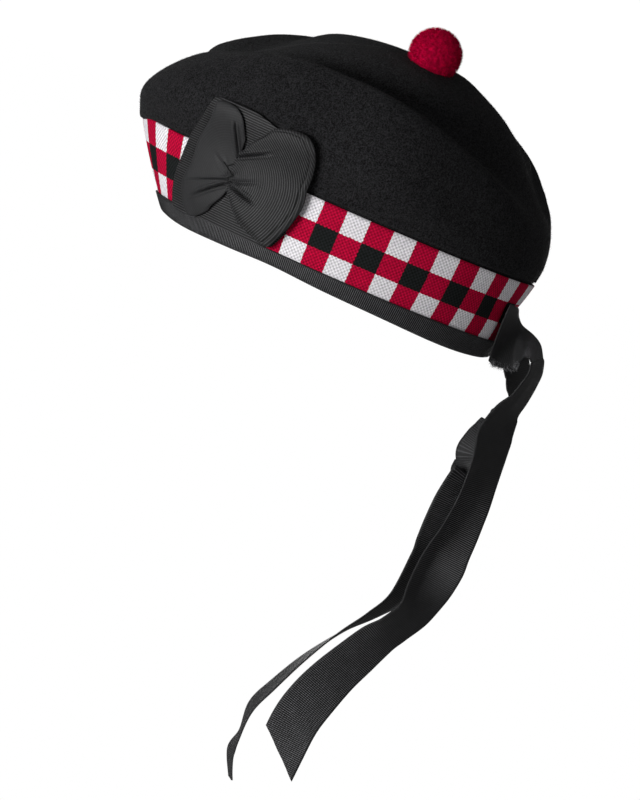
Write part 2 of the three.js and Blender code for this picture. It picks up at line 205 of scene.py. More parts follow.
# Lower and upper edge of the patch behind the bow.
BACKING_EDGE = table(
    "along low high",
    [
        (-38, -20, -12),
        (-37.2, -23, -7),
        (-35.6, -25.6, -1),
        (-34, -26.6, 6),
        (-31, -27, 14.5),
        (-27.5, -27, 20.5),
        (-22.5, -26.6, 29),
        (-20.4, -26.2, 34.5),
        (-19, -26, 37.2),
        (-11.3, -25.3, 37.8),
        (0, -25.2, 38.5),
        (6, -25.2, 38.3),
        (12, -25.2, 37.4),
        (17, -25.2, 36.3),
        (24, -25.2, 34.5),
        (34, -24, 32),
        (40, -15, 28),
        (42.5, -6, 22),
    ],
)

# Stitches over the pinch, from end to end.
STITCHES = table(
    "along above end_along end_above",
    [
        (-3.8, 7.3, 1.8, 3.8),
        (-1.4, 5.9, 2.6, 8.6),
        (1.8, 3.8, 4.4, 2.6),
        (0.7, 0.5, 4.8, 3.1),
        (1.4, -1.1, 3.8, -0.7),
    ],
)

# Middle lines of the two tails, with the turn of the ribbon's width about the vertical, the width's lift out
# of the level, the ribbon's lengthwise fold, and how high its ribs stand and how strongly their painted
# highlight and shade show, which paints the ribbon lighter where light falls on it.
TAIL_COLUMNS = "side back up turn lift fold ribs"
NEAR_TAIL = table(
    TAIL_COLUMNS,
    [
        (-6, 127, 9, 89, 0, 0, 0.2),
        (-6.2, 127.8, 7.5, 89, 0, 0, 0.2),
        (-6.6, 129, 1.5, 88, 2, 0.3, 0.05),
        (-6.4, 128.4, -5, 85, 3, 0.6, 0.03),
        (-5.9, 126.6, -15, 80, 6, 1, 0.03),
        (-4, 124, -24.5, 69, 11, 0.6, 0.03),
        (-3.7, 123, -35.5, 60, 14, 0, 0.03),
        (-3.5, 124.2, -43, 62, 13, 0, 0.03),
        (-3.5, 125.7, -52, 65, 9, -1, 0.05),
        (-3.2, 127, -64.5, 64, 2, -5, 0.3),
        (-2.7, 128, -76, 61, -3, -9, 0.9),
        (-2, 128, -85.5, 57, -4, -9, 1),
        (-1.5, 127.6, -96, 51, -6, -8.5, 1),
        (-1, 126.8, -104.5, 43, -6, -8, 1),
        (-0.5, 126.3, -114.5, 33, -9, -7, 0.7),
        (-0.2, 125, -128, 42, -16, -4, 0.2),
        (0.3, 123, -142, 62, -22, 0, 0.05),
        (1.2, 116.3, -155, 63, -18, 1, 0.2),
        (2, 110, -164.5, 54, -16, 1, 0.7),
        (2.7, 103.6, -177.5, 46, -17, 0.5, 1),
        (3.3, 96.2, -193.5, 35, -14, 0, 1),
        (4.3, 90.4, -210.5, 18, -12, 0, 1),
        (4.6, 87.4, -224.5, 8, -12, 0, 1),
        (4.6, 86.5, -243, 0, -10, 0, 1),
    ],
)
FAR_TAIL = table(
    TAIL_COLUMNS,
    [
        (-23.5, 101.1, 21, 108, 0, 0, 0.1),
        (-23.5, 101.2, 14, 105, 4, 0, 0.1),
        (-23.6, 109.5, 6, 80, 16, 0, 0.1),
        (-25.5, 116, -4, 77, 12, 0, 0.1),
        (-25, 118.5, -10, 78, 8, 0, 0.1),
        (-24, 119.5, -16.5, 84, 4, 0, 0.1),
        (-22.5, 118, -21.5, 95, 0, 0, 0.1),
        (-20.3, 114.5, -26, 112, 0, 0, 0.1),
        (-20, 116, -29.5, 128, -4, 0, 0.2),
        (-20, 117.2, -33, 142, -7, 0, 0.5),
        (-19.6, 116.4, -38, 150, -9, 0, 0.3),
        (-19, 115.2, -42.5, 153, -9, 0, 0.3),
        (-18.7, 114.3, -48, 156, -7, 0, 0.25),
        (-18.7, 114, -52.5, 159, -4, 0, 0.25),
        (-19.2, 115.6, -56, 166, -2, 0, 0.25),
        (-19.9, 117, -60.5, 188, 14, 0, 0.2),
        (-20.3, 117.6, -64, 212, 6, 0, 0.3),
        (-20.1, 116.4, -68, 220, 0, -0.5, 0.6),
        (-20.1, 115.5, -72.5, 222, 0, -1, 0.8),
        (-20, 114.3, -82, 222, 0, -2, 0.8),
        (-20, 114, -94.5, 222, 0, -2, 0.8),
        (-19.5, 113.7, -105.5, 228, 0, -2, 0.7),
        (-18.7, 113, -116, 238, 0, -2, 0.6),
        (-17, 108, -139, 257, 0, -2, 0.4),
        (-15, 99, -154.5, 266, 0, -2, 0.35),
        (-13.6, 87.2, -170, 277, 0, -0.5, 0.3),
        (-12, 74, -192, 287, 0, 0, 0.25),
        (-11, 64, -213, 292, 0, 0, 0.25),
        (-10, 57.5, -229.5, 293, 0, 0, 0.25),
        (-9.8, 57.8, -246, 289, 0, 0, 0.25),
        (-9, 57.5, -257, 296, 0, 0, 0.25),
        (-8.4, 63.5, -270, 294, 0, 0, 0.25),
    ],
)

# The ribbon wrapped round the back and out into the near tail: its lower edge, middle line and upper edge,
# from the band outwards.
WRAP_LINES = table(
    "way low_side low_back low_up side back up top_side top_back top_up",
    [
        (0.0, 5, 105.4, -1.6, 14, 106.2, 15.6, 17.5, 107.2, 31.6),
        (0.17, 1, 109, -3, 2, 107.8, 14.6, 2.2, 107.6, 30.6),
        (0.33, -3.4, 117.6, -1, -5, 112, 14.4, -7.2, 107, 27.2),
        (0.5, -0.8, 120.4, 5.2, -4.1, 116.6, 14, -11.7, 110, 22.4),
        (0.67, 2.7, 122.5, 8, -4.6, 120.4, 14, -14.5, 117.4, 19.8),
        (0.83, 5.5, 125.4, 8.6, -4.8, 124.1, 12.8, -16.6, 122.4, 16.8),
        (1.0, 7.1, 127.5, 7.4, -6.1, 127.8, 7.5, -19.4, 128, 7.6),
    ],
)


def length_property(name, description, default):
    return FloatProperty(name=name, description=description, default=default, unit="LENGTH", precision=4)


def angle_property(name, description, degrees):
    return FloatProperty(
        name=name, description=description, default=math.radians(degrees), subtype="ANGLE", unit="ROTATION"
    )


def colour_property(name, description, default):
    return FloatVectorProperty(
        name=name, description=description, default=default, subtype="COLOR", min=0, max=1
    )


class BonnetSizes(bpy.types.PropertyGroup):
    """Sizes of the bonnet's pieces."""

    rim_half_length: length_property("Rim half length", "Half the band's outer length at the rim", 0.100)
    rim_half_width: length_property("Rim half width", "Half the band's outer width at the rim", 0.082)
    band_top: length_property("Band top", "Height of the band's upper edge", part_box("diced_band")[1].z)
    foot_front: length_property("Front foot", "How far the band's foot stands out at the front", -0.0067)
    foot_side: length_property("Side foot", "How far the band's foot stands out at the sides", 0.0013)
    lean_front: length_property("Front lean", "How far the band's top stands out at the front", 0.0284)
    lean_side: length_property("Side lean", "How far the band's top stands out at the sides", 0.007)
    lean_rear: length_property("Rear lean", "How far the band's top stands out at the rear", 0.0087)
    band_belly: length_property("Band belly", "How far the band swells between its edges", 0.002)
    tie_pull: length_property("Tie pull", "How far the tied ribbon draws the band in at the rear", 0.0027)
    tie_up: length_property("Tie height", "Height at which the tied ribbon draws the band in most", 0.029)
    tie_angle: angle_property("Tie angle", "Angle of the tied ribbon from the front", 189)
    tie_spread: angle_property("Tie spread", "How far round the band is drawn in", 32)
    band_thickness: length_property("Band thickness", "Thickness of the woven band", 0.0012)
    band_foot: length_property("Band foot", "Lower end of the woven band", 0.0013)
    checks_around: IntProperty(name="Checks around", description="Columns of checks", default=48)
    check_start: angle_property("Check start", "Angle of one edge between columns", 96.4)
    check_low: length_property("Check foot", "Height of the lowest row's lower edge", 0.0074)
    check_height: length_property("Check height", "Height of a row of checks", 0.0122)
    thread_pitch: length_property("Thread pitch", "Distance between the weave's threads", 0.0022)
    binding_top: length_property("Binding top", "Height of the binding's edges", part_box("rim_binding")[1].z)
    ribbon_thickness: length_property("Ribbon thickness", "Thickness of the ribbon", 0.0008)
    rib_pitch: length_property("Rib pitch", "Distance between the cockade's ribs", 0.00125)
    tail_rib_pitch: length_property("Tail rib pitch", "Distance between ribs on tails and binding", 0.00103)
    rib_height: length_property("Rib height", "How far the ribs stand out of the ribbon", 0.00008)
    tail_width: length_property("Tail width", "Width of the tails' ribbon", 0.0265)
    near_slant: length_property("Near end slant", "How far the near tail's end slants to each side", 0.0103)
    far_slant: length_property("Far end slant", "How far the far tail's end slants to each side", 0.001)
    cockade_up: length_property("Cockade height", "Height of the cockade's pinch", 0.0337)
    cockade_angle: angle_property("Cockade angle", "Angle of the cockade's pinch from the front", 67)
    pompom_radius: length_property("Pompom radius", "Radius over the pompom's pile", 0.015)
    nap_length: length_property("Nap length", "Length of the felt's loose fibres", 0.0011)
    nap_fibres: IntProperty(name="Nap fibres", description="Loose fibres on the felt", default=52000)
    pompom_fibres: IntProperty(name="Pompom fibres", description="Yarn ends in the pompom", default=15000)


class BonnetColours(bpy.types.PropertyGroup):
    """Colours of the bonnet's materials."""

    felt: colour_property("Felt", "Fulled black wool", (0.0160, 0.0160, 0.0171))
    nap: colour_property("Nap", "Loose fibres of the felt", (0.07, 0.07, 0.074))
    ribbon: colour_property("Ribbon", "Black grosgrain", (0.0203, 0.0203, 0.0215))
    thread: colour_property("Thread", "Raw ends of the ribbon's threads", (0.22, 0.22, 0.23))
    red: colour_property("Red checks", "Crimson of the woven checks", (0.5, 0.004, 0.04))
    white: colour_property("White checks", "Off-white of the woven checks", (0.9, 0.87, 0.91))
    black: colour_property("Black checks", "Black of the woven checks", (0.014, 0.016, 0.016))
    wool: colour_property("Pompom", "Crimson wool of the pompom", (0.57, 0.002, 0.052))
    floor: colour_property("Floor", "Pale studio floor", (0.92, 0.92, 0.92))


def unit(vectors):
    return vectors / np.linalg.norm(vectors, axis=-1, keepdims=True)


def bell(distance, spread):
    return np.exp(-((distance / spread) ** 2))


def ease(value, start, end):
    """Rises smoothly from 0 at start to 1 at end."""
    t = np.clip((value - start) / (end - start), 0, 1)
    return t * t * (3 - 2 * t)


def curve(at, places, values):
    """A smooth line through a table's values, flat where they turn."""
    steps = np.diff(places)
    rises = np.diff(values) / steps
    slopes = np.empty_like(values)
    slopes[0], slopes[-1] = rises[0], rises[-1]
    before, after = rises[:-1], rises[1:]
    level = before * after <= 0
    slopes[1:-1] = np.where(level, 0, 2 * before * after / np.where(level, 1, before + after))
    at = np.clip(at, places[0], places[-1])
    i = np.clip(np.searchsorted(places, at) - 1, 0, len(steps) - 1)
    t = (at - places[i]) / steps[i]
    bent = (t * t * t - 2 * t * t + t) * slopes[i] + (t * t * t - t * t) * slopes[i + 1]
    return values[i] + (values[i + 1] - values[i]) * t * t * (3 - 2 * t) + steps[i] * bent


class HeadForm:
    """The rim's oval and the wall leaning out above it. Angles run from the front over the wearer's left."""

    def __init__(self, sizes):
        self.sizes = sizes
        self.half_length = sizes.rim_half_length
        self.half_width = sizes.rim_half_width

    def out(self, angle):
        side, end = np.sin(angle) / self.half_width, -np.cos(angle) / self.half_length
        return unit(np.stack([side, end, np.zeros_like(angle)], -1))

    def stand(self, angle, up):
        sizes = self.sizes
        front = np.cos(angle) > 0
        side, end = np.sin(angle) ** 2, np.cos(angle) ** 2
        foot = sizes.foot_side * side + np.where(front, sizes.foot_front, 0) * end**2
        lean = sizes.lean_side * side + np.where(front, sizes.lean_front, sizes.lean_rear) * end
        climb = up / sizes.band_top
        swell = 4 * sizes.band_belly * climb * (1 - climb)
        return foot + (lean - foot) * climb + swell - self.pull(angle, up)

    def pull(self, angle, up):
        sizes = self.sizes
        aside = (angle - sizes.tie_angle + math.pi) % (2 * math.pi) - math.pi
        above = (sizes.band_top - up) / (sizes.band_top - sizes.tie_up)
        share = np.where(up < sizes.tie_up, up / sizes.tie_up, above)
        return sizes.tie_pull * bell(aside, sizes.tie_spread) * np.maximum(0, share)

    def point(self, angle, up, offset=0.0):
        """Places on the band's outer face, or standing off it."""
        angle, up = np.broadcast_arrays(np.asarray(angle, float), np.asarray(up, float))
        rim = np.stack([self.half_width * np.sin(angle), -self.half_length * np.cos(angle), 0 * angle], -1)
        stand = self.stand(angle, up) + offset
        return rim + stand[..., None] * self.out(angle) + (up - self.sag(angle, up))[..., None] * UP

    def sag(self, angle, up):
        sagged = np.zeros_like(angle)
        for place, depth, spread in zip(*RIM_SAG):
            aside = (np.degrees(angle) - place + 180) % 360 - 180
            sagged += depth * MM * bell(aside, spread)
        return sagged * np.maximum(0, 1 - up / self.sizes.binding_top)

    def angles_by_length(self, up, start):
        """A function from the share of the way round, by length, to the angle there."""
        angle = np.linspace(start, start + 2 * math.pi, 1441)
        steps = np.linalg.norm(np.diff(self.point(angle, up + 0 * angle), axis=0), axis=1)
        way = np.concatenate([[0], np.cumsum(steps)])
        return (lambda share: np.interp(share, way / way[-1], angle)), way[-1]


def grid_mesh(columns, rows, place, pattern, closed=False, flip=False):
    """A grid of points where place(u, v) says, u and v from 0 to 1, with a UV map from pattern(u, v)."""
    bm = bmesh.new()
    bmesh.ops.create_grid(bm, x_segments=columns, y_segments=rows, size=0.5)
    bm.verts.index_update()
    flat = np.array([v.co[:2] for v in bm.verts])
    flat = (flat - flat.min(0)) / (flat.max(0) - flat.min(0))
    u, v = flat.T
    drawn = np.stack(pattern(u, v), -1)
    layer = bm.loops.layers.uv.new("UVMap")
    for face in bm.faces:
        for loop in face.loops:
            loop[layer].uv = drawn[loop.vert.index]
    for vert, point in zip(bm.verts, place(u, v)):
        vert.co = point
    if closed:
        bmesh.ops.remove_doubles(bm, verts=bm.verts, dist=0.01 * MM)
    if flip:
        bmesh.ops.reverse_faces(bm, faces=bm.faces)
    return bm


def thread_mesh(line, radius, sides=8):
    """A round thread along a line of points."""
    tangent = unit(np.gradient(line, axis=0))
    across = unit(np.cross(tangent, np.cross(tangent, UP) + 1e-6))
    other = np.cross(tangent, across)

    def place(u, v):
        i = np.rint(u * (len(line) - 1)).astype(int)
        turn = 2 * math.pi * v[:, None]
        return line[i] + radius * (np.cos(turn) * across[i] + np.sin(turn) * other[i])

    # The UV falls on the ribbon material's painted shade between ribs at full strength, so the thread is
    # painted near black.
    return grid_mesh(len(line) - 1, sides, place, lambda u, v: (0.5 + 0 * u, 1 + 0 * u), closed=True)


def new_piece(name, bm, finish, replaced=()):
    """Makes a bmesh a piece of the bonnet, with its finish and the solids that it stands for."""
    mesh = bpy.data.meshes.new(name)
    bm.to_mesh(mesh)
    bm.free()
    return dress_mesh(name, mesh, finish, replaced)


def dress_mesh(name, mesh, finish, replaced=()):
    mesh.materials.clear()
    mesh.materials.append(finish)
    mesh.shade_smooth()
    piece = bpy.data.objects.new(name, mesh)
    bpy.context.scene.collection.objects.link(piece)
    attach(piece, BODY)
    if replaced:
        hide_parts(*replaced)
    return piece


def thicken(piece, thickness, offset=0.0):
    wall = piece.modifiers.new("Thickness", "SOLIDIFY")
    wall.thickness = thickness
    wall.offset = offset


def fibres(roots, ways, widths, bend):
    """One mesh of slender two-faced fibres: each leaves its root along its way and bends to one side."""
    count = len(roots)
    draw = np.random.default_rng(count)
    aside = unit(np.cross(ways, draw.normal(size=(count, 3))))
    flat = unit(np.cross(ways, aside)) * widths[:, None] / 2
    lean = aside * (bend * np.linalg.norm(ways, axis=1))[:, None]
    middle = roots + 0.55 * ways + 0.25 * lean
    tip = roots + 0.9 * ways + lean
    points = np.stack([roots - flat, roots + flat, middle + 0.7 * flat, middle - 0.7 * flat, tip], 1)
    first = 5 * np.arange(count)[:, None]
    quads = first + np.array([0, 1, 2, 3])
    tips = first + np.array([3, 2, 4])
    mesh = bpy.data.meshes.new("fibres")
    mesh.from_pydata(points.reshape(-1, 3).tolist(), [], quads.tolist() + tips.tolist())
    return mesh


def solids_tree(*names):
    """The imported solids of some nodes, for finding places on them."""
    points, faces = [], []
    for name in names:
        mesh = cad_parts[name].data
        first = len(points)
        points += [v.co.copy() for v in mesh.vertices]
        faces += [[first + i for i in p.vertices] for p in mesh.polygons]
    return BVHTree.FromPolygons(points, faces)


class Value:
    """A socket that carries a number. Arithmetic on it adds Math nodes to its tree."""

    def __init__(self, tree, socket):
        self.tree = tree
        self.socket = socket

    def maths(self, operation, *others, swap=False):
        node = self.tree.nodes.new("ShaderNodeMath")
        node.operation = operation
        operands = [*others, self] if swap else [self, *others]
        for entry, operand in zip(node.inputs, operands):
            if isinstance(operand, Value):
                self.tree.links.new(operand.socket, entry)
            else:
                entry.default_value = operand
        return Value(self.tree, node.outputs[0])

    def __add__(self, other):
        return self.maths("ADD", other)

    __radd__ = __add__

    def __sub__(self, other):
        return self.maths("SUBTRACT", other)

    def __rsub__(self, other):
        return self.maths("SUBTRACT", other, swap=True)

    def __mul__(self, other):
        return self.maths("MULTIPLY", other)

    __rmul__ = __mul__

    def __truediv__(self, other):
        return self.maths("DIVIDE", other)

    def __pow__(self, other):
        return self.maths("POWER", other)

    def __gt__(self, other):
        return self.maths("GREATER_THAN", other)

    def __lt__(self, other):
        return self.maths("LESS_THAN", other)

    def sine(self):
        return self.maths("SINE")

    def cosine(self):
        return self.maths("COSINE")

    def fraction(self):
        return self.maths("FRACT")


class Finish:
    """A material in the making, with one method that adds any node."""

    def __init__(self, name, **constants):
        self.material = bpy.data.materials.new(name)
        self.material.use_nodes = True
        self.tree = self.material.node_tree
        self.shader = next(n for n in self.tree.nodes if n.type == "BSDF_PRINCIPLED")
        for socket, value in constants.items():
            self.shader.inputs[socket.replace("_", " ")].default_value = value

    def node(self, kind, settings=None, inputs=None, output=0):
        """Adds a node, sets its settings, then its inputs, and gives one of its outputs."""
        node = self.tree.nodes.new(kind)
        for name, value in (settings or {}).items():
            setattr(node, name, value)
        for name, value in (inputs or {}).items():
            self.feed(node.inputs[name], value)
        return Value(self.tree, node.outputs[output])

    def feed(self, entry, value):
        if isinstance(value, Value):
            self.tree.links.new(value.socket, entry)
        else:
            entry.default_value = value

    def place(self, kind="Object"):
        return self.node("ShaderNodeTexCoord", output=kind)

    def pattern(self):
        """The two numbers of the piece's own UV map."""
        split = self.tree.nodes.new("ShaderNodeSeparateXYZ")
        self.feed(split.inputs[0], self.place("UV"))
        return Value(self.tree, split.outputs["X"]), Value(self.tree, split.outputs["Y"])

    def noise(self, scale, detail=2.0, roughness=0.5):
        inputs = {"Vector": self.place(), "Scale": scale, "Detail": detail, "Roughness": roughness}
        return self.node("ShaderNodeTexNoise", inputs=inputs)

    def mix(self, share, low, high):
        """A colour between two others."""
        inputs = {0: share, 6: low, 7: high}
        return self.node("ShaderNodeMix", {"data_type": "RGBA"}, inputs, output=2)

    def shade(self, colour, amount):
        """A colour made darker or lighter by an amount."""
        grey = self.node("ShaderNodeCombineColor", inputs={"Red": amount, "Green": amount, "Blue": amount})
        inputs = {0: 1.0, 6: colour, 7: grey}
        return self.node("ShaderNodeMix", {"data_type": "RGBA", "blend_type": "MULTIPLY"}, inputs, output=2)

    def spread(self, value, low, high):
        """Stretches a value's range from low..high to 0..1."""
        inputs = {"Value": value, "From Min": low, "From Max": high}
        return self.node("ShaderNodeMapRange", inputs=inputs)

    def bump(self, height, strength, distance):
        inputs = {"Height": height, "Strength": strength, "Distance": distance}
        return self.node("ShaderNodeBump", inputs=inputs)

    def finish(self, **sockets):
        for name, value in sockets.items():
            self.feed(self.shader.inputs[name.replace("_", " ")], value)
        return self.material


def opaque(colour):
    return (*colour, 1.0)


def felt_finish(name, colour):
    """Fulled wool: a matted, slightly mottled nap with a faint bloom."""
    made = Finish(name, Specular_IOR_Level=0.06, Sheen_Weight=0.03, Sheen_Roughness=0.45)
    mottle = made.spread(made.noise(70, 4), 0.3, 0.7)
    fleck = made.spread(made.noise(1150, 3, 0.7), 0.4, 0.62)
    wisps = made.spread(made.noise(330, 4, 0.7), 0.35, 0.68)
    tone = 0.14 + 0.1 * mottle + 0.45 * wisps + 1.4 * fleck
    height = 0.6 * fleck + 0.5 * wisps
    return made.finish(
        Base_Color=made.shade(opaque(colour), tone),
        Roughness=0.98 - 0.1 * fleck,
        Normal=made.bump(height, 0.6, 0.5 * MM),
    )


def ribbon_finish(name, colour, painted_glint_gain):
    """Grosgrain with painted highlights on its rib crests and painted shade in the gaps between them. The UV
    map numbers the ribs and their strength.
    """
    made = Finish(name, Specular_IOR_Level=0.3)
    count, strength = made.pattern()
    threads = made.spread(made.noise(1900, 2, 0.6), 0.3, 0.7)
    wear = made.spread(made.noise(120, 3), 0.3, 0.7)
    # Painted light: each rib's crest is painted bright as a highlight and the gap between ribs painted dark
    # as shade; with a high gain, more strength also paints the whole ribbon lighter, as where light falls on
    # it.
    crest = (0.5 + 0.5 * (2 * math.pi * count).cosine()) ** 5
    ribs = 1 + strength * (painted_glint_gain * crest - 0.97)
    return made.finish(
        Base_Color=made.shade(opaque(colour), ribs * (0.6 + 0.6 * threads + 0.2 * wear)),
        Roughness=0.56 + 0.14 * threads,
        Normal=made.bump(threads, 0.25, 0.12 * MM),
    )


def dice_finish(name, colours, thread_pitch, column_width, row_height):
    """Red, white and black checks in a small bead weave, with painted shade between the beads, softer on the
    white checks. The UV map counts columns and rows.
    """
    made = Finish(name, Specular_IOR_Level=0.04)
    column, row = made.pattern()
    across = (2 * math.pi * column_width / thread_pitch * column).sine()
    along = (2 * math.pi * row_height / thread_pitch * row).sine()
    bead = 0.5 + 0.5 * across * along
    wobble = 0.06 * (made.noise(650, 2) - 0.5)
    sideways = column + 0.009 * along + wobble
    upright = row + 0.009 * across + wobble
    odd = (sideways / 2).fraction() > 0.5
    middle = (upright > 1) * (upright < 2)
    outer = made.mix(odd, opaque(colours.red), opaque(colours.white))
    inner = made.mix(odd, opaque(colours.black), opaque(colours.red))
    checks = made.mix(middle, outer, inner)
    pale = odd * (1 - middle)
    uneven = made.spread(made.noise(900, 2), 0.3, 0.7)
    # Painted shade: the colour darkens between the beads, with random unevenness; on the white checks the
    # painted shade is softer.
    woven = 0.22 + 0.98 * bead + 0.4 * uneven
    tone = woven * (1 - 0.35 * pale) + 0.34 * pale
    return made.finish(
        Base_Color=made.shade(checks, tone),
        Roughness=0.82 + 0.1 * uneven,
        Normal=made.bump(bead * (0.7 + 0.3 * uneven), 0.5, 0.3 * MM),
    )


def plain_finish(name, colour):
    """Loose fibres of one colour."""
    return Finish(name, Base_Color=opaque(colour), Roughness=0.95, Specular_IOR_Level=0.05).material


def wool_finish(name, colour):
    """Crimson pile with a random mottled tone."""
    made = Finish(name, Specular_IOR_Level=0.02, Roughness=0.95)
    tone = made.spread(made.noise(520, 3, 0.6), 0.32, 0.68)
    return made.finish(Base_Color=made.shade(opaque(colour), 0.52 + 0.9 * tone))


def finish_of(name, make, *facts):
    """A material made once and shared by the pieces that use it."""
    return bpy.data.materials.get(name) or make(name, *facts)


# Two copies of one black grosgrain that differ only in painted light: the tails, binding and wrap get strong
# painted highlights on their ribs, the cockade a weaker painted highlight.
def ribbon_material(colours):
    return finish_of("grosgrain", ribbon_finish, colours.ribbon, 8.6)


def cockade_material(colours):
    return finish_of("cockade_grosgrain", ribbon_finish, colours.ribbon, 2.8)


def coordinates(mesh):
    points = np.empty(3 * len(mesh.vertices))
    mesh.vertices.foreach_get("co", points)
    return points.reshape(-1, 3)


def normals_of(points, columns, rows):
    """Unit normals of a grid of points, by its own neighbours."""
    net = points.reshape(rows, columns, 3)
    along = np.gradient(net, axis=1)
    across = np.gradient(net, axis=0)
    return unit(np.cross(along, across)).reshape(-1, 3)


def ribbon_grid(columns, rows, place, sizes, count, strength, **options):
    """A grid of ribbon. count(u, v) numbers its ribs, and strength(u, v) sets how high they stand and how
    strongly their painted highlight and shade show.
    """

    def raised(u, v):
        base = place(u, v)
        order = np.lexsort((u.round(6), v.round(6)))
        normals = np.empty_like(base)
        normals[order] = normals_of(base[order], columns + 1, rows + 1)
        lift = sizes.rib_height * strength(u, v) * np.cos(2 * math.pi * count(u, v))
        return base + normals * lift[:, None]

    return grid_mesh(columns, rows, raised, lambda u, v: (count(u, v), strength(u, v)), **options)


class BonnetOperator:
    """What every operator of the bonnet shares."""

    bl_options = {"REGISTER", "UNDO"}

    def execute(self, context):
        self.build(context.scene.bonnet_sizes, context.scene.bonnet_colours)
        return {"FINISHED"}


class BONNET_OT_crown(BonnetOperator, bpy.types.Operator):
    """Felt crown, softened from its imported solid, and the loose fibres of its nap"""

    bl_idname = "bonnet.crown"
    bl_label = "Felt Crown"

    fitting_rounds = 5
    nap_lengths, nap_widths = (0.45, 1.25), (0.035, 0.06)
    nap_upright, nap_tousle, nap_least_rise, nap_bend = 0.55, 0.6, 0.12, 0.5

    def build(self, sizes, colours):
        felt = finish_of("napped_felt", felt_finish, colours.felt)
        crown = dress_mesh("crown_felt", self.softened(), felt, ["crown"])
        self.nap(crown, sizes, colours)

    def softened(self):
        """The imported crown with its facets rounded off, and with the felt's slow unevenness."""
        bm = bmesh.new()
        bm.from_mesh(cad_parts["crown"].data)
        bmesh.ops.remove_doubles(bm, verts=bm.verts, dist=0.001 * MM)
        bmesh.ops.join_triangles(
            bm,
            faces=bm.faces,
            angle_face_threshold=math.radians(50),
            angle_shape_threshold=math.radians(80),
        )
        rough = bpy.data.meshes.new("crown_rough")
        bm.to_mesh(rough)
        bm.free()
        holder = bpy.data.objects.new("crown_rough", rough)
        bpy.context.scene.collection.objects.link(holder)
        rounding = holder.modifiers.new("Rounding", "SUBSURF")
        rounding.levels = rounding.render_levels = 2
        target = coordinates(rough)
        cage = target.copy()
        for _ in range(self.fitting_rounds):
            cage += target - coordinates(self.evaluated(holder))[: len(target)]
            rough.vertices.foreach_set("co", cage.ravel())
            rough.update()
        mesh = bpy.data.meshes.new_from_object(self.evaluated_object(holder))
        bpy.data.objects.remove(holder)
        bpy.data.meshes.remove(rough)
        mesh.name = "crown_felt"
        points = coordinates(mesh)
        for *centre, push, spread in zip(*CROWN_PUSHES):
            centre = np.array(centre)
            near = bell(np.linalg.norm(points / MM - centre, axis=1), spread)
            points += (push * MM * near)[:, None] * unit(centre - np.array(PUSH_ORIGIN))
        lip = bell(np.linalg.norm(points / MM - np.array(LIP_PLACE), axis=1), LIP_SPREAD)
        points[:, 2] -= LIP_DROOP * MM * lip * ease(points[:, 2] / MM, *LIP_HEIGHTS)
        mesh.vertices.foreach_set("co", points.ravel())
        mesh.update()
        return mesh

    def evaluated_object(self, holder):
        bpy.context.view_layer.update()
        return holder.evaluated_get(bpy.context.evaluated_depsgraph_get())

    def evaluated(self, holder):
        return self.evaluated_object(holder).data

    def nap(self, crown, sizes, colours):
        mesh = crown.data
        draw = np.random.default_rng(7)
        count = len(mesh.polygons)
        area = np.empty(count)
        mesh.polygons.foreach_get("area", area)
        centre = np.empty(3 * count)
        mesh.polygons.foreach_get("center", centre)
        normal = np.empty(3 * count)
        mesh.polygons.foreach_get("normal", normal)
        centre, normal = centre.reshape(-1, 3), normal.reshape(-1, 3)
        from_middle = centre - np.array([0, 0, 1.6 * sizes.band_top])
        outside = (np.einsum("ij,ij->i", normal, from_middle) > 0) & (centre[:, 2] > sizes.band_top)
        share = np.where(outside, area, 0)
        chosen = draw.choice(count, sizes.nap_fibres, p=share / share.sum())
        around = np.array([[p.vertices[i] for i in (0, 1, 2, -1)] for p in mesh.polygons])
        corners = coordinates(mesh)[around[chosen]]
        a, b = draw.random((2, sizes.nap_fibres, 1))
        roots = (corners[:, 0] * (1 - a) + corners[:, 1] * a) * (1 - b)
        roots += (corners[:, 3] * (1 - a) + corners[:, 2] * a) * b
        out = normal[chosen]
        ways = unit(self.nap_upright * out + self.nap_tousle * draw.normal(size=(sizes.nap_fibres, 3)))
        rise = np.einsum("ij,ij->i", ways, out)
        ways -= np.minimum(0, rise - self.nap_least_rise)[:, None] * out
        lengths = sizes.nap_length * draw.uniform(*self.nap_lengths, sizes.nap_fibres)
        widths = draw.uniform(*self.nap_widths, sizes.nap_fibres) * MM
        bends = draw.uniform(0, self.nap_bend, sizes.nap_fibres)
        fuzz = fibres(roots, unit(ways) * lengths[:, None], widths, bends)
        dress_mesh("crown_nap", fuzz, finish_of("loose_nap", plain_finish, colours.nap))


class BONNET_OT_diced_band(BonnetOperator, bpy.types.Operator):
    """Woven band of red, white and black checks"""

    bl_idname = "bonnet.diced_band"
    bl_label = "Diced Band"

    # How many columns the tie draws the checks along, the angles where that sets in and fades, in degrees,
    # and the share of the band's height over which it grows.
    gather = 0.38
    gather_sets_in, gather_fades = (148, 172), (200, 290)
    gather_heights = (0.2, 0.9)

    def build(self, sizes, colours):
        form = HeadForm(sizes)
        low, high = sizes.band_foot, sizes.band_top
        angle_at, girth = form.angles_by_length(0.5 * high, sizes.check_start)
        around, rows = 8 * sizes.checks_around, 20

        def place(u, v):
            return form.point(angle_at(u), low + (high - low) * v)

        def pattern(u, v):
            up = low + (high - low) * v
            aside = np.degrees(angle_at(u))
            drawn = ease(aside, *self.gather_sets_in) * (1 - ease(aside, *self.gather_fades))
            gathered = self.gather * drawn * ease(up / high, *self.gather_heights)
            return sizes.checks_around * u + gathered, (up - sizes.check_low) / sizes.check_height

        column = girth / sizes.checks_around
        weave = finish_of("bead_weave", dice_finish, colours, sizes.thread_pitch, column, sizes.check_height)
        bm = grid_mesh(around, rows, place, pattern, closed=True)
        band = new_piece("diced_band_weave", bm, weave, ["diced_band"])
        thicken(band, sizes.band_thickness, -1)


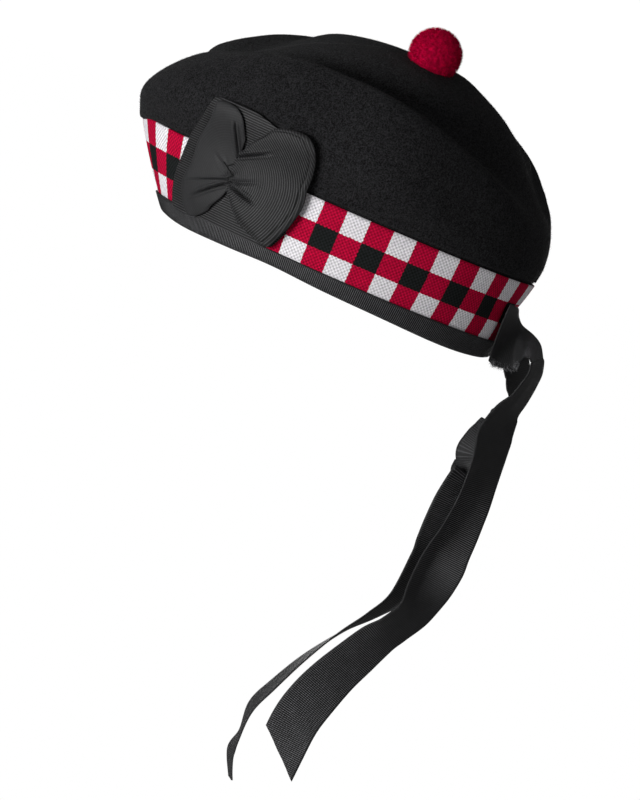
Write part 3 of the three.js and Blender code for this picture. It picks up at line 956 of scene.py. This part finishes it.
class BONNET_OT_binding(BonnetOperator, bpy.types.Operator):
    """Ribbed ribbon folded over the rim, inside and out"""

    bl_idname = "bonnet.binding"
    bl_label = "Rim Binding"

    def build(self, sizes, colours):
        form = HeadForm(sizes)
        top = sizes.binding_top
        outside, inside = 1.0 * MM, -4.9 * MM
        middle, half = (outside + inside) / 2, (outside - inside) / 2
        fold_up, fold_low = 2.2 * MM, 0.5 * MM
        angle_at, girth = form.angles_by_length(0.0, 0.0)
        ribs = round(girth / sizes.tail_rib_pitch)
        around, rows = 3 * ribs, 18
        straight = top - fold_up
        bend = math.pi * (half + fold_up) / 2
        total = 2 * straight + bend

        def place(u, v):
            way = v * total
            turn = np.clip((way - straight) / bend, 0, 1) * math.pi
            offset = middle + half * np.cos(turn)
            up = fold_up - (fold_up - fold_low) * np.sin(turn)
            up = up + np.clip(straight - way, 0, None) + np.clip(way - straight - bend, 0, None)
            return form.point(angle_at(u), up, offset)

        # Rib height and painted rib highlight, full across the binding and fading out at its edges.
        def strength(u, v):
            return ease(np.minimum(v, 1 - v) * total, 0, 0.8 * MM)

        def count(u, v):
            return u * ribs

        bm = ribbon_grid(around, rows, place, sizes, count, strength, closed=True, flip=True)
        binding = new_piece("binding_ribbon", bm, ribbon_material(colours), ["rim_binding"])
        thicken(binding, sizes.ribbon_thickness)


class CockadePlace:
    """The upright plane of the cockade's pinch, and the hat's wall behind it as one smooth surface."""

    # The stretch of wall that is fitted, along and above the pinch, with the number of places each way.
    fit_along, fit_above = (-0.044, 0.052, 25), (-0.03, 0.041, 21)
    # The scales and the order of the fitted surface, and how far out the rays to the wall start.
    scale_along, scale_above, order = 0.05, 0.04, 5
    reach = 0.1

    def __init__(self, sizes, form):
        angle = np.array(sizes.cockade_angle)
        self.pinch = form.point(angle, sizes.cockade_up)
        self.out = form.out(angle)
        self.along = np.array([-self.out[1], self.out[0], 0])
        self.depths = self.fitted(solids_tree("crown", "diced_band", "rim_binding"))

    def terms(self, along, above):
        x, y = along / self.scale_along, above / self.scale_above
        powers = range(self.order + 1)
        return np.stack([x**i * y**j for i in powers for j in powers if i + j <= self.order], -1)

    def fitted(self, tree):
        grids = np.meshgrid(np.linspace(*self.fit_along), np.linspace(*self.fit_above))
        along, above = (grid.ravel() for grid in grids)
        depths = []
        for a, z in zip(along, above):
            start = self.pinch + self.along * a + UP * z + self.out * self.reach
            depths.append(self.reach - tree.ray_cast(Vector(start), Vector(-self.out))[3])
        return np.linalg.lstsq(self.terms(along, above), np.array(depths), rcond=None)[0]

    def point(self, along, above, stand):
        """Places by their distance along and above the pinch, standing off the wall."""
        depth = self.terms(along, above) @ self.depths + stand
        return self.pinch + along[:, None] * self.along + above[:, None] * UP + depth[:, None] * self.out


class BONNET_OT_cockade(BonnetOperator, bpy.types.Operator):
    """Ribbon patch and the pinched bow on it, with the stitches that hold the pinch"""

    bl_idname = "bonnet.cockade"
    bl_label = "Bow Cockade"

    # How far the patch stands off the wall, and the lobes' foot off the patch.
    clear, lobe_clear = 1.9 * MM, 1.1 * MM
    # The lobes' own pinch, and the distance from it at which they start, in millimetres.
    pinch = (1.3, 0.3)
    core = 0.5

    def build(self, sizes, colours):
        wall = CockadePlace(sizes, HeadForm(sizes))
        ribbon = cockade_material(colours)
        self.backing(wall, sizes, ribbon)
        self.bow(wall, sizes, ribbon)

    def backing(self, wall, sizes, ribbon):
        first, last = BACKING_EDGE.along[[0, -1]] * MM
        height = (BACKING_EDGE.high - BACKING_EDGE.low).max() * MM
        columns, rows = 70, round(4 * height / sizes.rib_pitch)

        def spot(u, v):
            along = (first + (last - first) * u) / MM
            low = curve(along, BACKING_EDGE.along, BACKING_EDGE.low)
            high = curve(along, BACKING_EDGE.along, BACKING_EDGE.high)
            return along * MM, (low + (high - low) * v) * MM

        def place(u, v):
            return wall.point(*spot(u, v), self.clear)

        def count(u, v):
            return spot(u, v)[1] / sizes.rib_pitch

        # Full rib height and full painted rib highlight and shade over the whole patch.
        bm = ribbon_grid(columns, rows, place, sizes, count, lambda u, v: 1 + 0 * u)
        backing = new_piece("backing_ribbon", bm, ribbon, ["cockade_backing"])
        thicken(backing, sizes.ribbon_thickness)

    def bow(self, wall, sizes, ribbon):
        bm = self.lobe(wall, sizes, FRONT_LOBE, (-6, 62), LOBE_PUFF.front, LOBE_PUFF.front_ribs, 0)
        rear = bpy.data.meshes.new("rear")
        self.lobe(wall, sizes, REAR_LOBE, (-26, 50), LOBE_PUFF.rear, LOBE_PUFF.rear_ribs, 0.4).to_mesh(rear)
        bm.from_mesh(rear)
        bpy.data.meshes.remove(rear)
        self.stitches(wall, BVHTree.FromBMesh(bm), ribbon)
        bow = new_piece("bow_ribbon", bm, ribbon, ["cockade_bow"])
        thicken(bow, sizes.ribbon_thickness)

    def lobe(self, wall, sizes, edge, bends, puffs, ribs_and_painted_glint, groove):
        """One lobe as a fan of ribbon round the pinch. The bends turn its two side edges near the pinch."""
        columns, rows = round(3 * edge.reach.max() * MM / sizes.rib_pitch), 190

        def spot(u, v):
            heading = edge.heading[0] + (edge.heading[-1] - edge.heading[0]) * v
            reach = curve(heading, edge.heading, edge.reach)
            distance = self.core + (reach - self.core) * u
            bent = (1 - u) ** 2 * (bends[0] * (1 - v) ** 3 + bends[1] * v**3)
            way = np.radians(heading + bent)
            along, above = self.pinch[0] + distance * np.cos(way), self.pinch[1] + distance * np.sin(way)
            return along, above, distance, reach - distance

        def place(u, v):
            along, above, _, inside = spot(u, v)
            puff = curve(u, LOBE_PUFF.reach, puffs) * (1 - 0.5 * (2 * v - 1) ** 8)
            stand = puff - self.creased(along, above)
            stand += 0.3 * np.cos(14 * math.pi * v) * np.exp(-u / 0.14)
            stand -= groove * bell(inside - 2.9, 0.6) * ease(u, 0.5, 0.8)
            stand = np.maximum(stand, 0)
            return wall.point(along * MM, above * MM, self.clear + self.lobe_clear + stand * MM)

        def count(u, v):
            return spot(u, v)[2] * MM / sizes.rib_pitch

        # Rib height and painted rib highlight: faint on the front lobe, full on the rear lobe.
        def strength(u, v):
            return curve(u, LOBE_PUFF.reach, ribs_and_painted_glint)

        return ribbon_grid(columns, rows, place, sizes, count, strength)

    def creased(self, along, above):
        depth = np.zeros_like(along)
        for x, y, end_x, end_y, deep, width in zip(*BOW_CREASES):
            run = np.array([end_x - x, end_y - y])
            length = np.hypot(*run)
            ahead = ((along - x) * run[0] + (above - y) * run[1]) / length
            aside = ((along - x) * run[1] - (above - y) * run[0]) / length
            fade = ease(ahead, -2.5, 1.5) * (1 - ease(ahead, 0.4 * length, length))
            depth += deep * fade * (bell(aside, width) - 0.35 * bell(np.abs(aside) - 2.3 * width, width))
        return depth

    def stitches(self, wall, bow, ribbon):
        """Short threads that lie on the bow across its pinch. They are painted near black: partly the real
        stitches, partly painted shade of the grooves along them.
        """
        bm = bmesh.new()
        share = np.linspace(0, 1, 9)
        radius, reach = 0.3 * MM, 0.05
        for x, y, end_x, end_y in zip(*STITCHES):
            line = []
            for t in share:
                along, above = (x + (end_x - x) * t) * MM, (y + (end_y - y) * t) * MM
                start = wall.pinch + wall.along * along + UP * above + wall.out * reach
                found = bow.ray_cast(Vector(start), Vector(-wall.out))[3]
                line.append(start - wall.out * (reach if found is None else found))
            arch = (0.65 * MM + 0.2 * MM * np.sin(math.pi * share))[:, None] * wall.out
            thread = bpy.data.meshes.new("thread")
            thread_mesh(np.array(line) + arch, radius).to_mesh(thread)
            bm.from_mesh(thread)
            bpy.data.meshes.remove(thread)
        new_piece("cockade_stitches", bm, ribbon)


class BONNET_OT_pompom(BonnetOperator, bpy.types.Operator):
    """Wool pompom of dense cut pile"""

    bl_idname = "bonnet.pompom"
    bl_label = "Pompom"

    # The heart's radius and the pile's roots and lengths, as shares of the pompom's radius.
    heart_share, root_share, pile_lengths = 0.9, 0.86, (0.1, 0.19)
    pile_widths, pile_lean, pile_bend = (0.16, 0.3), 0.16, 0.35
    felt_clear, top_clear = 0.2 * MM, 0.6 * MM

    def build(self, sizes, colours):
        wool = finish_of("wool_pile", wool_finish, colours.wool)
        low, high = (np.array(corner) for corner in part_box("toorie"))
        radius = sizes.pompom_radius
        centre = np.array([*(low + high)[:2] / 2, high[2] - radius - self.top_clear])
        felt = solids_tree("crown")
        self.heart(centre, self.heart_share * radius, felt, wool)
        self.pile(centre, radius, felt, sizes, wool)

    def heart(self, centre, radius, felt, wool):
        bm = bmesh.new()
        bmesh.ops.create_icosphere(bm, subdivisions=4, radius=radius)
        bmesh.ops.translate(bm, verts=bm.verts, vec=centre)
        for vert in bm.verts:
            place, normal, *_ = felt.find_nearest(vert.co)
            if (vert.co - place).dot(normal) < self.felt_clear:
                vert.co = place + self.felt_clear * normal
        new_piece("pompom_heart", bm, wool, ["toorie"])

    def pile(self, centre, radius, felt, sizes, wool):
        draw = np.random.default_rng(11)
        ways = unit(draw.normal(size=(sizes.pompom_fibres, 3)))
        roots = centre + self.root_share * radius * ways
        lengths = radius * draw.uniform(*self.pile_lengths, sizes.pompom_fibres)
        leaning = unit(ways + self.pile_lean * draw.normal(size=ways.shape))
        tips = roots + leaning * lengths[:, None]
        clear = []
        for tip in tips:
            place, normal, *_ = felt.find_nearest(Vector(tip))
            clear.append((Vector(tip) - place).dot(normal) > 0)
        clear = np.array(clear)
        widths = draw.uniform(*self.pile_widths, sizes.pompom_fibres) * MM
        bends = draw.uniform(0, self.pile_bend, sizes.pompom_fibres)
        mesh = fibres(roots[clear], (tips - roots)[clear], widths[clear], bends[clear])
        dress_mesh("pompom_pile", mesh, wool)


def through(rows, count):
    """Evenly spaced places on a smooth line through a tail's rows, and the other columns there."""
    knots = np.stack(rows, -1)
    last = len(knots) - 1
    t = np.linspace(0, last, 40 * last + 1)
    i = np.clip(t.astype(int), 0, last - 1)
    f = (t - i)[:, None]
    before = knots[np.maximum(i - 1, 0)]
    after = knots[np.minimum(i + 2, last)]
    start, end = knots[i], knots[i + 1]
    slope, end_slope = (end - before) / 2, (after - start) / 2
    dense = (2 * f**3 - 3 * f**2 + 1) * start + (f**3 - 2 * f**2 + f) * slope
    dense += (3 * f**2 - 2 * f**3) * end + (f**3 - f**2) * end_slope
    way = np.concatenate([[0], np.cumsum(np.linalg.norm(np.diff(dense[:, :3], axis=0), axis=1))])
    spaced = np.linspace(0, way[-1], count)
    return np.stack([np.interp(spaced, way, column) for column in dense.T], -1), way[-1]


class BONNET_OT_tails(BonnetOperator, bpy.types.Operator):
    """The two ribbon tails, with ribs across them and slanted cut ends"""

    bl_idname = "bonnet.tails"
    bl_label = "Ribbon Tails"

    # Where each tail's lengthwise fold lies, from -1 at one edge to 1, and how round its crease is.
    near_crease, far_crease, crease_rounding = -0.3, 0, 0.04
    line_places = 900

    def build(self, sizes, colours):
        ribbon = ribbon_material(colours)
        self.tail("near", "wrap_ribbon", NEAR_TAIL, sizes.near_slant, self.near_crease, sizes, ribbon)
        self.tail("far", "diced_band_weave", FAR_TAIL, sizes.far_slant, self.far_crease, sizes, ribbon)

    def tail(self, name, carrier, rows, slant, crease, sizes, ribbon):
        """One tail along its rows, folded lengthwise at its crease."""
        line, length = through(rows, self.line_places)
        length *= MM
        way = np.linspace(0, length, len(line))
        middle = line[:, :3] * MM
        turn, lift = np.radians(line[:, 3:5]).T
        tangent = unit(np.gradient(middle, axis=0))
        wide = np.stack([-np.sin(turn) * np.cos(lift), np.cos(turn) * np.cos(lift), np.sin(lift)], -1)
        width = unit(wide - np.einsum("ij,ij->i", wide, tangent)[:, None] * tangent)
        face = unit(np.cross(tangent, width))
        columns, across_rows = round(4 * length / sizes.tail_rib_pitch), 18

        def at(values, distance):
            return np.stack([np.interp(distance, way, column) for column in values.T], -1)

        def run(u, v):
            """How far along the ribbon a place lies: the slanted end makes one edge longer."""
            return u * (length + slant * (2 * v - 1))

        def place(u, v):
            distance, across = run(u, v), 2 * v - 1
            beyond = np.clip(distance - length, 0, None)[:, None] * tangent[-1]
            from_crease = np.abs(across - crease) / np.where(across < crease, 1 + crease, 1 - crease)
            folded = 1 - np.hypot(from_crease, self.crease_rounding)
            bent = np.interp(distance, way, line[:, 5] * MM) * folded
            aside = (across * sizes.tail_width / 2)[:, None] * at(width, distance)
            return at(middle, distance) + beyond + aside + bent[:, None] * at(face, distance)

        # Painted light: rib height and painted rib highlight, strong where the tail is lit, near none where
        # it lies in shade, fading at its edges.
        def strength(u, v):
            shown = np.interp(run(u, v), way, line[:, 6])
            return shown * ease(np.minimum(v, 1 - v) * sizes.tail_width, 0.3 * MM, 1.2 * MM)

        bm = ribbon_grid(
            columns, across_rows, place, sizes, lambda u, v: run(u, v) / sizes.tail_rib_pitch, strength
        )
        tail = new_piece(f"tail_{name}_ribbon", bm, ribbon, [f"tail_{name}"])
        thicken(tail, sizes.ribbon_thickness)


class BONNET_OT_wrap(BonnetOperator, bpy.types.Operator):
    """Ribbon wrapped over the band's join at the back, with its frayed raw edge"""

    bl_idname = "bonnet.wrap"
    bl_label = "Tie Wrap"

    # The raw edge's loose ends: how many, the stretch of the ribbon they lie on, their way, and their lengths
    # and widths in millimetres.
    frayed_ends, frayed_stretch, frayed_way = 900, (0.06, 0.46), (0.2, 0.25, -1.0)
    frayed_lengths, frayed_widths = (0.8, 3.4), (0.1, 0.2)

    def build(self, sizes, colours):
        length, width = 62 * MM, 27 * MM
        columns, rows = round(4 * length / sizes.tail_rib_pitch), 24

        def place(u, v):
            low, middle, top = (
                np.stack([curve(u, WRAP_LINES.way, column) for column in WRAP_LINES[first : first + 3]], -1)
                for first in (1, 4, 7)
            )
            share = v[:, None]
            low_share, top_share = (1 - share) * (1 - 2 * share), share * (2 * share - 1)
            return (low_share * low + 4 * share * (1 - share) * middle + top_share * top) * MM

        # Rib height and painted rib highlight: faint on the wrap's shaded panel, stronger towards the lit
        # twist, fading at its edges.
        bm = ribbon_grid(
            columns, rows, place, sizes, lambda u, v: u * length / sizes.tail_rib_pitch,
            lambda u, v: (0.12 + 0.5 * ease(u, 0.5, 0.75)) * ease(np.minimum(v, 1 - v), 0.02, 0.06),
        )
        wrap = new_piece("wrap_ribbon", bm, ribbon_material(colours), ["tie_wrap"])
        thicken(wrap, sizes.ribbon_thickness)
        self.frayed(place, colours)

    def frayed(self, place, colours):
        """Loose thread ends along the ribbon's raw lower edge."""
        draw = np.random.default_rng(5)
        count = self.frayed_ends
        share = draw.uniform(*self.frayed_stretch, count)
        roots = place(share, draw.uniform(0, 0.1, count))
        ways = unit(np.array(self.frayed_way) + 0.45 * draw.normal(size=(count, 3)))
        ways = ways * draw.uniform(*self.frayed_lengths, (count, 1)) * MM
        widths = draw.uniform(*self.frayed_widths, count) * MM
        mesh = fibres(roots, ways, widths, draw.uniform(0, 0.5, count))
        thread = finish_of("raw_thread", plain_finish, colours.thread)
        dress_mesh("wrap_frayed_ends", mesh, thread)


class BONNET_OT_stage(BonnetOperator, bpy.types.Operator):
    """Pale floor, soft studio light and the camera"""

    bl_idname = "bonnet.stage"
    bl_label = "Studio"

    distance = 2.0
    yaw, rise, roll = math.radians(16.8), math.radians(3.5), math.radians(23.5)
    focal_pixels = 3670
    ambient = 0.15
    image_size = (640, 800)
    origin_pixel = (321.0, 280.3)
    sensor = 36.0
    far_clip = 50
    backdrop = 1.02
    floor_radius, floor_drop = 12, 0.06
    # Each lamp's way out by the camera's right, up and back, with its distance, size and watts.
    lamps = (
        ("key", (-0.95, -0.05, 0.85), 1.7, 1.0, 67),
        ("rear", (0, -0.25, -1), 1.8, 1.2, 26),
        ("fill", (0.9, 0.2, 1.2), 2.0, 1.4, 1.0),
    )

    def build(self, sizes, colours):
        self.floor(colours)
        self.light()
        self.camera()

    def axes(self):
        """The camera's right, up and back before it is aimed."""
        ahead, aside = math.cos(self.yaw), math.sin(self.yaw)
        flat = math.cos(self.rise)
        back = Vector((ahead * flat, aside * flat, math.sin(self.rise)))
        level = Vector((-aside, ahead, 0))
        upright = back.cross(level)
        right = math.cos(self.roll) * level + math.sin(self.roll) * upright
        return right, back.cross(right), back

    def camera(self):
        right, up, back = self.axes()
        lens = bpy.data.cameras.new("camera")
        lens.sensor_width = self.sensor
        lens.lens = self.sensor * self.focal_pixels / max(self.image_size)
        lens.clip_end = self.far_clip
        camera = bpy.data.objects.new("camera", lens)
        bpy.context.scene.collection.objects.link(camera)
        aside = math.atan2(self.origin_pixel[0] - self.image_size[0] / 2, self.focal_pixels)
        above = math.atan2(self.image_size[1] / 2 - self.origin_pixel[1], self.focal_pixels)
        straight = Matrix((right, up, back)).transposed()
        aimed = straight @ Matrix.Rotation(-above, 3, "X") @ Matrix.Rotation(aside, 3, "Y")
        camera.matrix_world = Matrix.Translation(back * self.distance) @ aimed.to_4x4()
        bpy.context.scene.camera = camera

    def floor(self, colours):
        bm = bmesh.new()
        bmesh.ops.create_circle(bm, cap_ends=True, radius=self.floor_radius, segments=96)
        bmesh.ops.translate(bm, verts=bm.verts, vec=(0, 0, CAD_LOW.z - self.floor_drop))
        mesh = bpy.data.meshes.new("floor")
        bm.to_mesh(mesh)
        bm.free()
        floor = bpy.data.objects.new("floor", mesh)
        bpy.context.scene.collection.objects.link(floor)
        mesh.materials.append(self.floor_finish(opaque(colours.floor)))

    def floor_finish(self, colour):
        """A pale floor that the camera sees as bright as the studio behind it."""
        made = Finish("pale_floor", Base_Color=colour, Roughness=0.9, Specular_IOR_Level=0.1)
        lit = made.node("ShaderNodeEmission", inputs={"Color": (1, 1, 1, 1)})
        seen = made.node("ShaderNodeLightPath", output="Is Camera Ray")
        plain = Value(made.tree, made.shader.outputs[0])
        mixed = made.node("ShaderNodeMixShader", inputs={0: seen, 1: plain, 2: lit})
        ending = next(n for n in made.tree.nodes if n.type == "OUTPUT_MATERIAL")
        made.feed(ending.inputs["Surface"], mixed)
        return made.material

    def light(self):
        world = bpy.data.worlds.new("studio")
        world.use_nodes = True
        tree = world.node_tree
        background = next(n for n in tree.nodes if n.type == "BACKGROUND")
        background.inputs["Color"].default_value = (1, 1, 1, 1)
        seen = Value(tree, tree.nodes.new("ShaderNodeLightPath").outputs["Is Camera Ray"])
        strength = self.ambient + (self.backdrop - self.ambient) * seen
        tree.links.new(strength.socket, background.inputs["Strength"])
        bpy.context.scene.world = world
        right, up, back = self.axes()
        for name, (x, y, z), distance, size, watts in self.lamps:
            self.softbox(name, x * right + y * up + z * back, distance, size, watts)
        bpy.context.scene.view_settings.view_transform = "Standard"

    def softbox(self, name, way, distance, size, watts):
        lamp = bpy.data.lights.new(name, "AREA")
        lamp.shape = "SQUARE"
        lamp.size = size
        lamp.energy = watts
        light = bpy.data.objects.new(name, lamp)
        light.location = way.normalized() * distance
        light.rotation_euler = way.to_track_quat("Z", "Y").to_euler()
        bpy.context.scene.collection.objects.link(light)


class BONNET_PT_panel(bpy.types.Panel):
    """Lists the bonnet's pieces, sizes and colours"""

    bl_label = "Diced Bonnet"
    bl_idname = "BONNET_PT_panel"
    bl_space_type = "VIEW_3D"
    bl_region_type = "UI"
    bl_category = "Bonnet"

    def draw(self, context):
        for operator in OPERATORS:
            self.layout.operator(operator.bl_idname)
        for group in (context.scene.bonnet_sizes, context.scene.bonnet_colours):
            box = self.layout.box()
            for name in group.__annotations__:
                box.prop(group, name)


OPERATORS = (
    BONNET_OT_stage,
    BONNET_OT_crown,
    BONNET_OT_diced_band,
    BONNET_OT_binding,
    BONNET_OT_cockade,
    BONNET_OT_pompom,
    BONNET_OT_wrap,
    BONNET_OT_tails,
)
CLASSES = (BonnetSizes, BonnetColours, *OPERATORS, BONNET_PT_panel)


def register():
    for cls in CLASSES:
        bpy.utils.register_class(cls)
    bpy.types.Scene.bonnet_sizes = PointerProperty(type=BonnetSizes)
    bpy.types.Scene.bonnet_colours = PointerProperty(type=BonnetColours)


def unregister():
    del bpy.types.Scene.bonnet_colours
    del bpy.types.Scene.bonnet_sizes
    for cls in reversed(CLASSES):
        bpy.utils.unregister_class(cls)


def main():
    register()
    bpy.ops.bonnet.stage()
    bpy.ops.bonnet.crown()
    bpy.ops.bonnet.diced_band()
    bpy.ops.bonnet.binding()
    bpy.ops.bonnet.cockade()
    bpy.ops.bonnet.pompom()
    bpy.ops.bonnet.wrap()
    bpy.ops.bonnet.tails()


if __name__ == "__main__":
    main()
